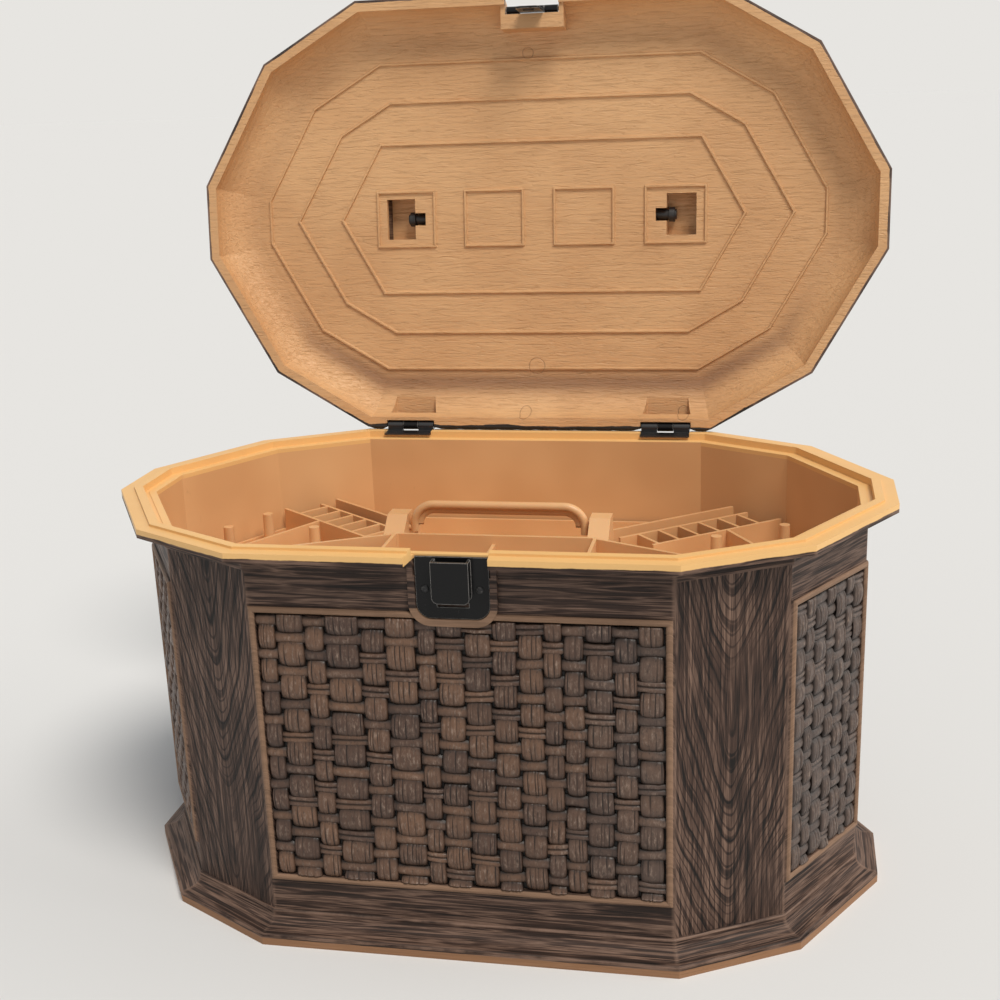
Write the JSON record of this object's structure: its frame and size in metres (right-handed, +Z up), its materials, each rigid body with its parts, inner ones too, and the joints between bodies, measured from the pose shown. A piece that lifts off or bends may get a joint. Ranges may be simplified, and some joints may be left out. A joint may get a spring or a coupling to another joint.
{
  "type": "sewing box",
  "caption": "Faceted moulded sewing box with basket-weave sides, a hinged lid with a snap latch and folding carrying handle, and a lift-out tray with its own handle.",
  "frame": {"origin": "middle of the flat underside, on the surface the box stands on", "axes": "+X along the front to the right, +Y to the back where the lid is hinged, +Z up"},
  "size_m": [0.4064, 0.2954, 0.4595],
  "materials": {
    "dark_wood": "moulded plastic painted as dark brown wood grain",
    "woven": "moulded basket weave, dark brown with rubbed highlights",
    "tan_plastic": "tan moulded plastic, satin",
    "black_steel": "gloss black enamel",
    "pin_steel": "worn steel",
    "black_plastic": "black moulded plastic"
  },
  "bodies": {
    "box": {"box_shell": "dark_wood", "front_weave_panel": "woven", "rear_weave_panel": "woven", "right_front_weave_panel": "woven", "right_rear_weave_panel": "woven", "left_front_weave_panel": "woven", "left_rear_weave_panel": "woven", "latch_keeper": "black_steel", "keeper_rivets": "pin_steel", "left_hinge_box_leaf": "black_steel", "right_hinge_box_leaf": "black_steel", "left_hinge_pin": "pin_steel", "right_hinge_pin": "pin_steel", "hinge_box_rivets": "pin_steel"},
    "lid": {"lid_shell": "tan_plastic", "left_hinge_lid_leaf": "black_steel", "right_hinge_lid_leaf": "black_steel", "hinge_lid_rivets": "pin_steel", "latch_plate": "black_steel", "latch_plate_rivets": "pin_steel", "latch_pin": "pin_steel"},
    "latch": {"latch_tongue": "black_steel"},
    "handle": {"carry_handle": "black_plastic", "left_handle_cap": "black_plastic", "right_handle_cap": "black_plastic"},
    "tray": {"tray": "tan_plastic", "tray_rim": "tan_plastic", "tray_middle": "tan_plastic", "left_bobbin_rack": "tan_plastic", "right_bobbin_rack": "tan_plastic"},
    "tray_grip": {"tray_handle": "tan_plastic"}
  },
  "joints": [
    {"name": "lid_hinge", "type": "hinge", "parent": "box", "child": "lid", "pos_m": [0, 0.1243, 0.211], "axis": [-1, 0, 0], "range_deg": [-96, 0]},
    {"name": "latch_swing", "type": "hinge", "parent": "lid", "child": "latch", "pos_m": [0, 0.15059, 0.45016], "axis": [-1, 0, 0], "range_deg": [0, 110]},
    {"name": "handle_swing", "type": "hinge", "parent": "lid", "child": "handle", "pos_m": [0, 0.16146, 0.33208], "axis": [1, 0, 0], "range_deg": [-6, 174]},
    {"name": "tray_lift", "type": "slide", "parent": "box", "child": "tray", "axis": [0, 0, 1], "range_m": [0, 0.2]},
    {"name": "tray_handle_fold", "type": "hinge", "parent": "tray", "child": "tray_grip", "pos_m": [0, 0, 0.184], "axis": [-1, 0, 0], "range_deg": [0, 85]}
  ]
}
